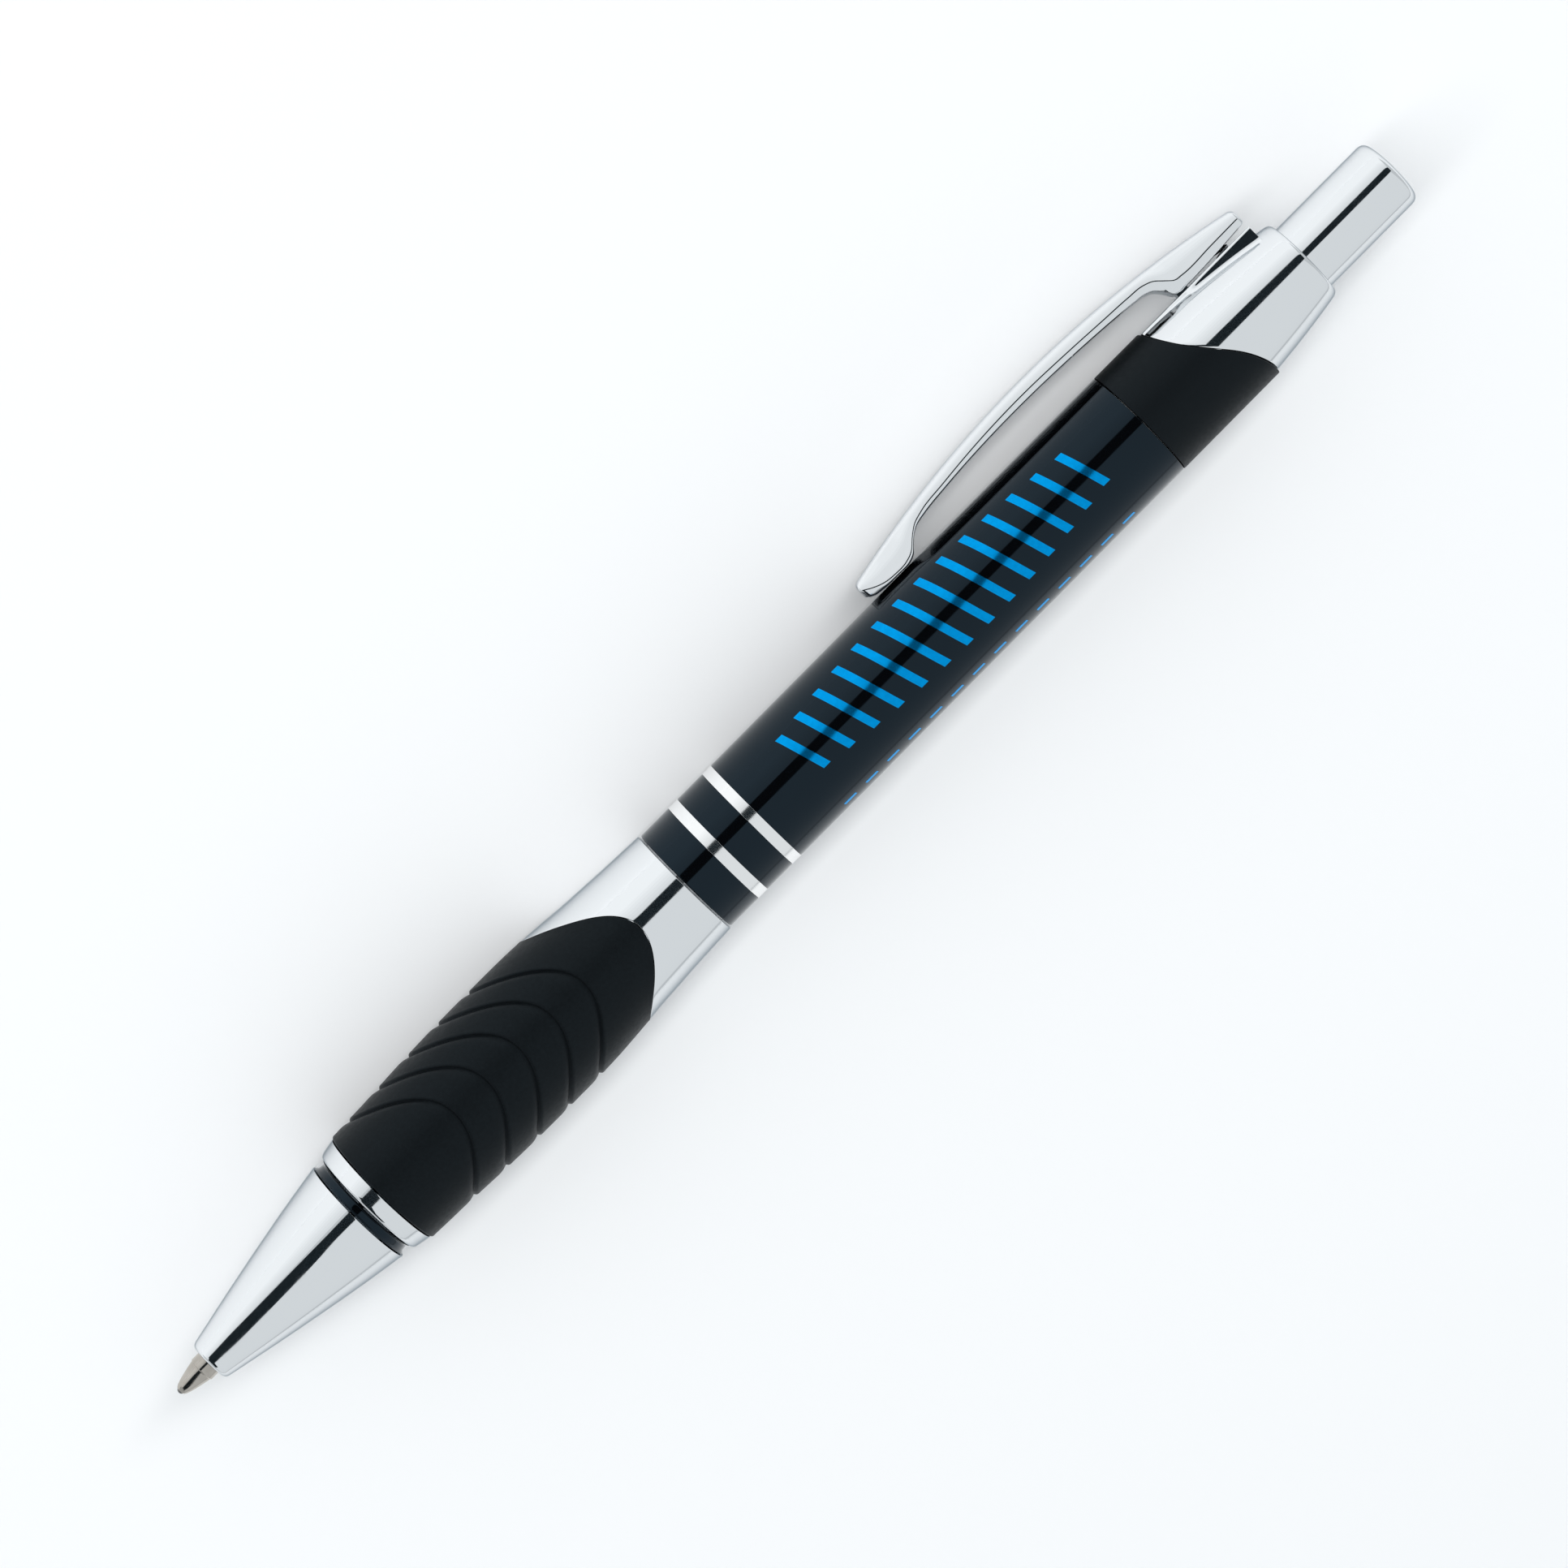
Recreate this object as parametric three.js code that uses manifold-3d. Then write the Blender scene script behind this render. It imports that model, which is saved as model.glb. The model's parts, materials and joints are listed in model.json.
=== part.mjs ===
// A retractable ballpoint pen in millimetres, lying on its side as it rests on a table, +Z up.
//
// The pieces are drawn in the pen's own frame: X runs along the axis from the ball of the point to the
// push button, Y points to the clip, and Z across the clip. The group at the end rolls that frame about
// the axis until the clip leans on the table, and puts the origin under the middle of the pen.
// The point is out and the button is at the height it keeps while the pen writes.

import * as THREE from "three";
import { mergeVertices } from "three/addons/utils/BufferGeometryUtils.js";
import Module from "manifold-3d";

const wasm = await Module();
wasm.setup();

// Driving dimensions

const LENGTH = 140;
const BARREL_RADIUS = 5.17;
const GRIP_RADIUS = 6.22;
const ROLL = THREE.MathUtils.degToRad(22.5); // how far the pen turns until its clip touches the table
const FACETS = 32;

const FIT = 0.08; // radial gap between pieces that are pressed or screwed together
const SEAM = 0.1; // gap along the axis between neighbouring pieces

const NOSE = { front: 3.6, rear: 20.75, frontRadius: 1.86, rearRadius: 5.09, hole: 1.3 };
const NOSE_RING = { front: 20.85, rear: 21.75, radius: 4.98, waist: 4.75 };
const FERRULE = { front: 21.85, rear: 23.45, frontRadius: 5.22, rearRadius: 5.55 };
const GRIP = { front: 23.55, edge: 50.45, bore: 4.9 };
const FRONT = { front: 14.7, rear: 58.45, radius: 5.3, spigot: 3.5, bore: 3.15, rearBore: 4.35 };
const FRONT_WAIST = { front: 24.4, rear: 46.4, bore: 4.15 };
const BARREL = { front: 58.6, rear: 110.75, bore: 4.35 };
const BANDS = [
  { name: "trim_ring_front", front: 61.8, rear: 62.85 },
  { name: "trim_ring_rear", front: 65.7, rear: 66.7 },
];
const BAND_GROOVE = 4.86;
const BUSH = { front: 50.2, rear: 60.9, bore: 3.4 };
const COLLAR = { front: 110.85, edge: 118.85, slant: 3.18, bend: 0.18, bore: 4.33 };
const CAP = { rear: 129.6, rearRadius: 3.92, spigot: 4.25, front: 98.2, bore: 3.3, shoulder: 119.7 };
const FLANGE_BORE = 3.62;
const SLEEVE = {
  front: 96.6, rear: 111.9, radius: 3.7, grooveRadius: 3.3, ribRadius: 2.7, ribFront: 103.4,
};
const BUTTON = { front: 113.6, flangeRear: 114.6, flange: 3.55, radius: 3.2, bore: 2.3, boreEnd: 134.4 };
const ROD = {
  front: 103.75, rear: 134, radius: 2.2, crownRadius: 2.55, splineFront: 104.6, splineRear: 107.6,
};
const ROTOR = { front: 98.15, rear: 103.1, ribFront: 99.6, ribRear: 103, bodyRadius: 2.3, ribTip: 3.2 };
const REFILL = { shoulder: 19.9, tubeRadius: 2.95, tubeRear: 94.2, plugRear: 98, plugRadius: 2.75 };
const HOLDER = { front: 8.3, noseRadius: 1.15, stemFront: 12.4, stemRadius: 1.75 };
const TIP = { front: 0.24, coneRear: 2.7, frontRadius: 0.42, radius: 1.1, lip: 0.355 };
const BALL_RADIUS = 0.35;
const RETURN_SPRING = { front: 10.75, rear: 19.75, radius: 2.25, wire: 0.2, turns: 9 };
const SPRING_POCKET = { front: 10.4, radius: 2.62 };

const RIDGE = { front: 116.6, rear: 128.25, halfWidth: 2.2, top: 4.97, bottom: 3.4 };
const CLIP = {
  front: 85.2, rear: 128.2, archX: 106.2, archTop: 9.35, archRadius: 100,
  halfWidth: 2.15, padHalfWidth: 1.9, padGap: 0.12,
};
const HINGE = { x: 120.8, y: 4.45, pinRadius: 0.4, holeRadius: 0.47, legHalfX: 0.55, legHalfWidth: 1.3 };
const CLIP_SPRING = { x: 125.4, bottom: 4.02, top: 6.2, radius: 0.62, wire: 0.13, turns: 4 };
const CLIP_SPRING_POCKET = { radius: 0.95, bottom: 3.92, top: 6.3 };

// Materials

const finish = (color, roughness, metalness) =>
  new THREE.MeshStandardMaterial({ color, roughness, metalness });
const chrome = finish(0xd9dcde, 0.12, 1);
const nickel = finish(0xb9b6ac, 0.3, 1);
const brass = finish(0xc9a24f, 0.35, 1);
const steel = finish(0xa4a7aa, 0.35, 1);
const glossBlack = finish(0x14181c, 0.15, 0);
const mattBlack = finish(0x1c2023, 0.55, 0);
const rubber = finish(0x181c20, 0.75, 0);
const inkBlue = finish(0x2f4f9a, 0.45, 0);
const white = finish(0xe6e6e2, 0.5, 0);

const pen = new THREE.Group();

function add(name, shape, material) {
  const mesh = new THREE.Mesh(shape.isBufferGeometry ? shape : fromSolid(shape), material);
  mesh.name = name;
  pen.add(mesh);
}

// Geometry helpers

function toSolid(geometry) {
  const bare = geometry.clone();
  bare.deleteAttribute("normal");
  bare.deleteAttribute("uv");
  const merged = mergeVertices(bare, 1e-4);
  return new wasm.Manifold(new wasm.Mesh({
    numProp: 3,
    vertProperties: new Float32Array(merged.attributes.position.array),
    triVerts: new Uint32Array(merged.index.array),
  }));
}

function fromSolid(solid) {
  const { vertProperties, triVerts, numProp } = solid.getMesh();
  const positions = new Float32Array((vertProperties.length / numProp) * 3);
  for (let i = 0; i < positions.length / 3; i++) {
    positions.set(vertProperties.subarray(i * numProp, i * numProp + 3), i * 3);
  }
  const geometry = new THREE.BufferGeometry();
  geometry.setAttribute("position", new THREE.BufferAttribute(positions, 3));
  geometry.setIndex(new THREE.BufferAttribute(new Uint32Array(triVerts), 1));
  geometry.computeVertexNormals();
  return geometry;
}

// Joins rings of equally many points into a closed surface: each ring to the next, the last to the first.
function closedSurface(rings) {
  const size = rings[0].length;
  const positions = rings.flat().flatMap((p) => [p.x, p.y, p.z]);
  const index = [];
  rings.forEach((_, i) => {
    const here = i * size;
    const next = ((i + 1) % rings.length) * size;
    for (let j = 0; j < size; j++) {
      const k = (j + 1) % size;
      index.push(here + j, next + j, next + k, here + j, next + k, here + k);
    }
  });
  const geometry = new THREE.BufferGeometry();
  geometry.setAttribute("position", new THREE.BufferAttribute(new Float32Array(positions), 3));
  geometry.setIndex(index);
  geometry.computeVertexNormals();
  return geometry;
}

// Turns a closed outline of [x, radius] points about the X axis. The outline runs rearwards along the
// outside and forwards along the bore, and may change with the angle from the clip.
function turnedRing(outlineAt, facets = FACETS) {
  const rings = [];
  for (let i = 0; i < facets; i++) {
    const angle = (i / facets) * 2 * Math.PI;
    const ring = outlineAt(angle).map(
      ([x, r]) => new THREE.Vector3(x, r * Math.cos(angle), r * Math.sin(angle)),
    );
    rings.push(ring);
  }
  return closedSurface(rings);
}

// Turns an outline that starts and ends on the X axis.
function turnedSolid(outline, facets = FACETS) {
  const geometry = new THREE.LatheGeometry(outline.map(([x, r]) => new THREE.Vector2(r, x)), facets);
  geometry.rotateY(Math.PI / 2);
  geometry.rotateZ(-Math.PI / 2);
  return geometry;
}

const tube = (front, rear, outer, inner) =>
  turnedRing(() => [[front, inner], [front, outer], [rear, outer], [rear, inner]]);

function box(x0, x1, y0, y1, z0, z1) {
  return new THREE.BoxGeometry(x1 - x0, y1 - y0, z1 - z0)
    .translate((x0 + x1) / 2, (y0 + y1) / 2, (z0 + z1) / 2);
}

// An upright cylinder, along Y.
const post = (x, radius, y0, y1) =>
  new THREE.CylinderGeometry(radius, radius, y1 - y0, 16).translate(x, (y0 + y1) / 2, 0);

// A cylinder across the pen, along Z.
const crossPin = (x, y, radius, z0, z1) =>
  new THREE.CylinderGeometry(radius, radius, z1 - z0, 16)
    .rotateX(Math.PI / 2)
    .translate(x, y, (z0 + z1) / 2);

// A helical spring with its axis along X, from x = 0 to x = height.
class Helix extends THREE.Curve {
  constructor(height, radius, turns) {
    super();
    Object.assign(this, { height, radius, turns });
  }
  getPoint(t, target = new THREE.Vector3()) {
    const angle = t * this.turns * 2 * Math.PI;
    return target.set(t * this.height, this.radius * Math.cos(angle), this.radius * Math.sin(angle));
  }
}

function coilSpring(height, radius, wire, turns) {
  const section = new THREE.Shape();
  section.absarc(0, 0, wire, 0, 2 * Math.PI);
  return new THREE.ExtrudeGeometry(section, {
    steps: turns * 12,
    curveSegments: 3,
    extrudePath: new Helix(height, radius, turns),
  });
}

// Sector between two radii, used for the ribs and grooves of the click mechanism.
function sector(front, rear, inner, outer, centre, width) {
  const shape = new THREE.Shape();
  shape.absarc(0, 0, outer, centre - width / 2, centre + width / 2, false);
  shape.absarc(0, 0, inner, centre + width / 2, centre - width / 2, true);
  const depth = rear - front;
  return new THREE.ExtrudeGeometry(shape, { depth, bevelEnabled: false, curveSegments: 3 })
    .rotateY(Math.PI / 2)
    .translate(front, 0, 0);
}

const quarterTurns = [0, 1, 2, 3].map((i) => (i * Math.PI) / 2);

// Curves of the moulded edges round the pen, as a shift along the axis at an angle from the clip

const gripWave = (angle) =>
  -1.0 * Math.cos(angle) - 3.1 * Math.cos(2 * angle) - 0.36 * Math.cos(3 * angle);

const collarEdge = (angle) =>
  COLLAR.edge - COLLAR.slant * Math.cos(angle) + COLLAR.bend * Math.cos(3 * angle);

// The grip's outline: swollen in the middle, with a short step at each end
function gripRadius(x) {
  const outline = [
    [GRIP.front, 5.62], [25, 5.78], [30, 5.97], [34, 6.16], [38, GRIP_RADIUS], [43, GRIP_RADIUS],
    [46, 6.07], [50, 5.71], [54, 5.5], [FRONT.rear, FRONT.radius],
  ];
  const i = Math.max(1, outline.findIndex(([station]) => station >= x));
  const [[x0, r0], [x1, r1]] = [outline[i - 1], outline[i]];
  return THREE.MathUtils.mapLinear(x, x0, x1, r0, r1);
}

// The nose cone swells a little between its two ends.
function noseRadius(x) {
  const t = (x - NOSE.front) / (NOSE.rear - NOSE.front);
  return THREE.MathUtils.lerp(NOSE.frontRadius, NOSE.rearRadius, t) + 0.62 * t * (1 - t);
}

// Front section

function noseCone() {
  const stations = [0.35, 3, 6, 9, 12, 15].map((step) => NOSE.front + step);
  const outside = stations.map((x) => [x, noseRadius(x)]);
  const socket = FRONT.front - SEAM;
  return turnedRing(() => [
    [NOSE.front, NOSE.hole],
    [NOSE.front, NOSE.frontRadius - 0.25],
    ...outside,
    [NOSE.rear, NOSE.rearRadius],
    [NOSE.rear, FRONT.spigot + FIT],
    [socket, FRONT.spigot + FIT],
    [socket, SPRING_POCKET.radius],
    [SPRING_POCKET.front, SPRING_POCKET.radius],
    [SPRING_POCKET.front, NOSE.hole],
  ]);
}

function noseRing() {
  const bore = FRONT.spigot + FIT;
  const { front, rear, radius, waist } = NOSE_RING;
  return turnedRing(() => [
    [front, bore], [front, radius], [(front + rear) / 2, waist], [rear, radius], [rear, bore],
  ]);
}

function ferrule() {
  const { front, rear, frontRadius, rearRadius } = FERRULE;
  const bore = FRONT.spigot + FIT;
  return turnedRing(() => [
    [front, bore], [front, frontRadius], [front + 0.25, frontRadius + 0.2],
    [rear, rearRadius], [rear, bore],
  ]);
}

// The rubber sleeve ends in a curved edge, against which the chrome of the front section steps up.
function grip() {
  return turnedRing((angle) => {
    const edge = GRIP.edge + gripWave(angle);
    const outside = [0, 0.15, 0.32, 0.5, 0.7, 0.85].map((part) => {
      const x = THREE.MathUtils.lerp(GRIP.front, edge, part);
      return [x, gripRadius(x)];
    });
    return [[GRIP.front, GRIP.bore], ...outside, [edge, gripRadius(edge) + 0.05], [edge, GRIP.bore]];
  });
}

function frontSection() {
  const core = GRIP.bore - FIT;
  return turnedRing((angle) => {
    const step = GRIP.edge + gripWave(angle) + 1.5 * SEAM;
    return [
      [FRONT.front, FRONT.bore],
      [FRONT.front, FRONT.spigot],
      [GRIP.front, FRONT.spigot],
      [GRIP.front, core],
      [step, core],
      [step, gripRadius(step) - 0.06],
      [(step + FRONT.rear) / 2, gripRadius((step + FRONT.rear) / 2)],
      [FRONT.rear, FRONT.radius],
      [FRONT.rear, FRONT.rearBore],
      [BUSH.front - SEAM, FRONT.rearBore],
      [BUSH.front - SEAM, FRONT.bore],
      [FRONT_WAIST.rear, FRONT.bore],
      [FRONT_WAIST.rear, FRONT_WAIST.bore],
      [FRONT_WAIST.front, FRONT_WAIST.bore],
      [FRONT_WAIST.front, FRONT.bore],
    ];
  });
}

add("nose_cone", noseCone(), chrome);
add("nose_ring", noseRing(), glossBlack);
add("grip_ferrule", ferrule(), chrome);
add("rubber_grip", grip(), rubber);
add("front_section", frontSection(), chrome);

// Barrel

function barrel() {
  const { front, rear, bore } = BARREL;
  const grooves = BANDS.flatMap((band) => [
    [band.front - SEAM / 2, BARREL_RADIUS],
    [band.front - SEAM / 2, BAND_GROOVE - FIT],
    [band.rear + SEAM / 2, BAND_GROOVE - FIT],
    [band.rear + SEAM / 2, BARREL_RADIUS],
  ]);
  return turnedRing(() => [
    [front, bore], [front, BARREL_RADIUS], ...grooves, [rear, BARREL_RADIUS], [rear, bore],
  ]);
}

add("barrel_tube", barrel(), glossBlack);
for (const band of BANDS) add(band.name, tube(band.front, band.rear, BARREL_RADIUS, BAND_GROOVE), chrome);
add("coupling_bush", tube(BUSH.front, BUSH.rear, BARREL.bore - FIT, BUSH.bore), steel);

// Collar, cap and clip

function rearCollar() {
  return turnedRing((angle) => [
    [COLLAR.front, COLLAR.bore],
    [COLLAR.front, BARREL_RADIUS],
    [collarEdge(angle), BARREL_RADIUS],
    [collarEdge(angle), COLLAR.bore],
  ]);
}

// The cap bulges out of the collar's slanted edge and narrows to its flat end.
function capRadius(x) {
  const start = COLLAR.edge - COLLAR.slant;
  const t = (x - start) / (CAP.rear - start);
  return BARREL_RADIUS - (BARREL_RADIUS - CAP.rearRadius) * t ** 1.8;
}

function capBody() {
  return turnedRing((angle) => {
    const edge = collarEdge(angle) + SEAM;
    const outside = [0, 0.35, 0.6, 0.8, 0.95].map((part) => {
      const x = THREE.MathUtils.lerp(edge, CAP.rear, part);
      return [x, capRadius(x)];
    });
    const sleeveEnd = SLEEVE.rear + SEAM;
    return [
      [CAP.front, SLEEVE.radius + FIT],
      [CAP.front, CAP.spigot],
      [edge, CAP.spigot],
      ...outside,
      [CAP.rear, CAP.rearRadius - 0.25],
      [CAP.rear, CAP.bore],
      [CAP.shoulder, CAP.bore],
      [CAP.shoulder, FLANGE_BORE],
      [sleeveEnd, FLANGE_BORE],
      [sleeveEnd, SLEEVE.radius + FIT],
    ];
  });
}

function endCap() {
  const { halfWidth, front, rear, top, bottom } = RIDGE;
  const { x, y, legHalfX, legHalfWidth, holeRadius } = HINGE;
  const ridge = box(front, rear, bottom, top, -halfWidth, halfWidth);
  const slotGap = 0.2;
  const slot = box(
    x - legHalfX - slotGap, x + legHalfX + slotGap, CAP.bore + 0.4, top + 1,
    -legHalfWidth - slotGap, legHalfWidth + slotGap,
  );
  const pinHole = crossPin(x, y, holeRadius, -halfWidth - 1, halfWidth - 0.35);
  const pocket = post(CLIP_SPRING.x, CLIP_SPRING_POCKET.radius, CLIP_SPRING_POCKET.bottom, top + 1);
  const flangeRoom = turnedSolid([
    [SLEEVE.rear + 1, 0], [SLEEVE.rear + 1, FLANGE_BORE], [CAP.shoulder, FLANGE_BORE], [CAP.shoulder, 0],
  ]);
  return [slot, pinHole, pocket, flangeRoom].reduce(
    (solid, cut) => solid.subtract(toSolid(cut)),
    toSolid(capBody()).add(toSolid(ridge)),
  );
}

// The clip's back is one shallow arch. Its underside drops to the pad in front and to the tail behind.
const clipTop = (x) => CLIP.archTop - (x - CLIP.archX) ** 2 / (2 * CLIP.archRadius);

function clipStations() {
  const pad = BARREL_RADIUS + CLIP.padGap;
  const span = (x) => 7.8 - (x - 104.5) ** 2 / 220;
  const tailRoot = HINGE.x + HINGE.legHalfX;
  const tail = (x) => THREE.MathUtils.mapLinear(x, tailRoot, CLIP.rear, RIDGE.top + 0.15, RIDGE.top + 0.45);
  return [
    [CLIP.front, clipTop(CLIP.front) - 0.35, 6.0],
    [86, clipTop(86), pad + 0.1],
    [88, clipTop(88), pad],
    [89.9, clipTop(89.9), pad],
    [90.8, clipTop(90.8), 5.95],
    [92.1, clipTop(92.1), 6.95],
    ...[94, 97, 101, 106, 111, 115, 118.4].map((x) => [x, clipTop(x), span(x)]),
    [119.4, clipTop(119.4), 6.45],
    [HINGE.x - HINGE.legHalfX, clipTop(120.3), tail(HINGE.x - HINGE.legHalfX)],
    [HINGE.x + HINGE.legHalfX, clipTop(121.3), tail(tailRoot)],
    [124.5, clipTop(124.5), tail(124.5)],
    [127.5, clipTop(127.5), tail(127.5)],
    [CLIP.rear, clipTop(CLIP.rear) - 1.3, tail(CLIP.rear)],
  ];
}

// Each cross-section has eight corners: a flat back with bevelled edges, upright sides and a narrower
// underside.
function clipBody() {
  const stations = clipStations().map(([x, top, bottom]) => {
    const half = THREE.MathUtils.mapLinear(x, CLIP.front, CLIP.rear, CLIP.padHalfWidth, CLIP.halfWidth);
    const bevel = Math.min(0.5, (top - bottom) * 0.3);
    const corners = [
      [half - 0.5, top], [half, top - 0.35], [half, bottom + bevel], [half - bevel, bottom],
      [-half + bevel, bottom], [-half, bottom + bevel], [-half, top - 0.35], [-half + 0.5, top],
    ];
    return corners.map(([z, y]) => new THREE.Vector3(x, y, z));
  });
  return cappedLoft(stations);
}

// Joins cross-sections along X and closes both ends with a fan.
function cappedLoft(sections) {
  const size = sections[0].length;
  const positions = sections.flat().flatMap((p) => [p.x, p.y, p.z]);
  const index = [];
  for (let i = 0; i + 1 < sections.length; i++) {
    for (let j = 0; j < size; j++) {
      const [a, b] = [i * size + j, i * size + ((j + 1) % size)];
      index.push(a, b, b + size, a, b + size, a + size);
    }
  }
  const last = (sections.length - 1) * size;
  for (let j = 1; j + 1 < size; j++) {
    index.push(0, j + 1, j, last, last + j, last + j + 1);
  }
  const geometry = new THREE.BufferGeometry();
  geometry.setAttribute("position", new THREE.BufferAttribute(new Float32Array(positions), 3));
  geometry.setIndex(index);
  return geometry;
}

// The leg goes down into the cap's slot, where the hinge pin holds it.
function clip() {
  const { x, y, legHalfX, legHalfWidth, holeRadius } = HINGE;
  const leg = box(x - legHalfX, x + legHalfX, y - 0.6, y + 2, -legHalfWidth, legHalfWidth);
  const hole = crossPin(x, y, holeRadius, -legHalfWidth - 1, legHalfWidth + 1);
  const pocket = post(CLIP_SPRING.x, CLIP_SPRING_POCKET.radius, RIDGE.top, CLIP_SPRING_POCKET.top);
  return toSolid(clipBody()).add(toSolid(leg)).subtract(toSolid(hole)).subtract(toSolid(pocket));
}

function clipSpring() {
  const { x, bottom, top, radius, wire, turns } = CLIP_SPRING;
  return coilSpring(top - bottom - 2 * wire, radius, wire, turns)
    .rotateZ(Math.PI / 2)
    .translate(x, bottom + wire, 0);
}

// The pin is driven in from one side of the ridge and stops short of the other.
const clipHingePin = () =>
  crossPin(HINGE.x, HINGE.y, HINGE.pinRadius, 0.1 - RIDGE.halfWidth, RIDGE.halfWidth - 0.45);

add("rear_collar", rearCollar(), mattBlack);
add("end_cap", endCap(), chrome);
add("clip", clip(), chrome);
add("clip_hinge_pin", clipHingePin(), steel);
add("clip_spring", clipSpring(), steel);

// Click mechanism: the ribs of the rotor and of the rod run in the grooves between the sleeve's guide ribs.

const GROOVE_WIDTH = THREE.MathUtils.degToRad(44);
const RIB_WIDTH = THREE.MathUtils.degToRad(30);

function camSleeve() {
  const wall = toSolid(tube(SLEEVE.front, SLEEVE.rear, SLEEVE.radius, SLEEVE.grooveRadius));
  return quarterTurns.reduce((solid, turn) => {
    const rib = sector(
      SLEEVE.ribFront, SLEEVE.rear, SLEEVE.ribRadius, SLEEVE.grooveRadius + 0.2,
      turn + Math.PI / 4, Math.PI / 2 - GROOVE_WIDTH,
    );
    return solid.add(toSolid(rib));
  }, wall);
}

// A ring of four ramped teeth that point forwards or rearwards.
function toothRing(base, tip, inner, outer) {
  return turnedRing((angle) => {
    const ramp = (angle / (Math.PI / 2)) % 1;
    const crest = THREE.MathUtils.lerp(base, tip, 0.15 + 0.85 * ramp);
    const edge = crest > base ? [[base, outer], [crest, outer], [crest, inner], [base, inner]]
      : [[crest, outer], [base, outer], [base, inner], [crest, inner]];
    return edge;
  }, FACETS);
}

function ribs(front, rear, inner, tip) {
  return quarterTurns.map((turn) => toSolid(sector(front, rear, inner, tip, turn, RIB_WIDTH)));
}

const joined = (solid, others) => others.reduce((whole, other) => whole.add(other), solid);

function camRotor() {
  const { front, rear, ribFront, ribRear, bodyRadius, ribTip } = ROTOR;
  const body = toSolid(turnedSolid([
    [front, 0], [front, bodyRadius - 0.5], [front + 1, bodyRadius],
    [rear - 0.5, bodyRadius], [rear - 0.5, 0],
  ]));
  const teeth = toSolid(toothRing(rear - 0.7, rear, 1.2, bodyRadius));
  return joined(body, [teeth, ...ribs(ribFront, ribRear, bodyRadius - 0.3, ribTip)]);
}

function thrustRod() {
  const { front, radius, rear, crownRadius, splineFront, splineRear } = ROD;
  const body = toSolid(turnedSolid([
    [front + 0.5, 0], [front + 0.5, crownRadius], [splineRear, crownRadius], [splineRear + 0.5, radius],
    [rear, radius], [rear, 0],
  ]));
  const teeth = toSolid(toothRing(front + 0.7, front, 1.2, crownRadius));
  return joined(body, [teeth, ...ribs(splineFront, splineRear, crownRadius - 0.3, ROTOR.ribTip)]);
}

function plungerButton() {
  const { front, flangeRear, flange, radius, bore, boreEnd } = BUTTON;
  const dome = 0.22;
  return turnedSolid([
    [boreEnd, 0], [boreEnd, bore], [front, bore], [front, flange],
    [flangeRear, flange], [flangeRear, radius],
    [LENGTH - dome - 0.6, radius], [LENGTH - dome - 0.18, radius - 0.18], [LENGTH - dome, radius - 0.6],
    [LENGTH - dome / 3, radius / 2], [LENGTH, 0],
  ]);
}

add("cam_sleeve", camSleeve(), white);
add("cam_rotor", camRotor(), inkBlue);
add("thrust_rod", thrustRod(), mattBlack);
add("plunger_button", plungerButton(), chrome);

// Refill and its spring

function writingTip() {
  const { front, coneRear, frontRadius, radius, lip } = TIP;
  const socket = BALL_RADIUS + 0.03;
  return turnedSolid([
    [2 * BALL_RADIUS + 0.1, 0], [2 * BALL_RADIUS + 0.1, socket], [BALL_RADIUS, socket], [front, lip],
    [front, frontRadius],
    [coneRear, radius], [HOLDER.front, radius], [HOLDER.front, 0],
  ]);
}

function tipHolder() {
  const { front, noseRadius: stub, stemFront, stemRadius } = HOLDER;
  const { shoulder, tubeRadius } = REFILL;
  return turnedSolid([
    [front + SEAM, 0], [front + SEAM, stub], [stemFront, stub], [stemFront + 0.6, stemRadius],
    [shoulder, stemRadius], [shoulder, tubeRadius], [shoulder + 1.5, tubeRadius],
    [shoulder + 1.5, tubeRadius - 0.4], [shoulder + 4.5, tubeRadius - 0.4], [shoulder + 4.5, 0],
  ]);
}

function refillTube() {
  const front = REFILL.shoulder + 1.5 + SEAM;
  return tube(front, REFILL.tubeRear, REFILL.tubeRadius, REFILL.tubeRadius - 0.4 + FIT);
}

// The plug's open end is notched, so that ink can breathe and the rotor's nose finds its centre.
function refillEndPlug() {
  const { tubeRear, plugRear, plugRadius, tubeRadius } = REFILL;
  const stem = tubeRadius - 0.4;
  const body = toSolid(turnedRing(() => [
    [tubeRear - 3, 0.8], [tubeRear - 3, stem], [tubeRear + SEAM, stem], [tubeRear + SEAM, plugRadius],
    [plugRear, plugRadius], [plugRear, 0.8],
  ]));
  const notch = box(plugRear - 1.2, plugRear + 1, -0.35, 0.35, -4, 4);
  const cross = notch.clone().rotateX(Math.PI / 2);
  return body.subtract(toSolid(notch)).subtract(toSolid(cross));
}

function returnSpring() {
  const { front, rear, radius, wire, turns } = RETURN_SPRING;
  return coilSpring(rear - front - 2 * wire, radius, wire, turns).translate(front + wire, 0, 0);
}

add("writing_tip", writingTip(), nickel);
add("tip_ball", new THREE.SphereGeometry(BALL_RADIUS, 12, 8).translate(BALL_RADIUS, 0, 0), steel);
add("tip_holder", tipHolder(), brass);
add("refill_tube", refillTube(), steel);
add("refill_end_plug", refillEndPlug(), inkBlue);
add("return_spring", returnSpring(), steel);

// The pen leans on its clip: Y of the pen turns down towards the table.
pen.rotation.x = -ROLL;
const extent = new THREE.Box3().setFromObject(pen, true);
const middle = extent.getCenter(new THREE.Vector3());
pen.position.set(-middle.x, -middle.y, -extent.min.z);

const table = new THREE.Group();
table.add(pen);

export default table;
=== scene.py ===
"""The finished surfaces, floor, lights and camera of the retractable ballpoint pen."""

import json
import math

import bmesh
import bpy
import numpy as np
from mathutils import Matrix, Vector


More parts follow.
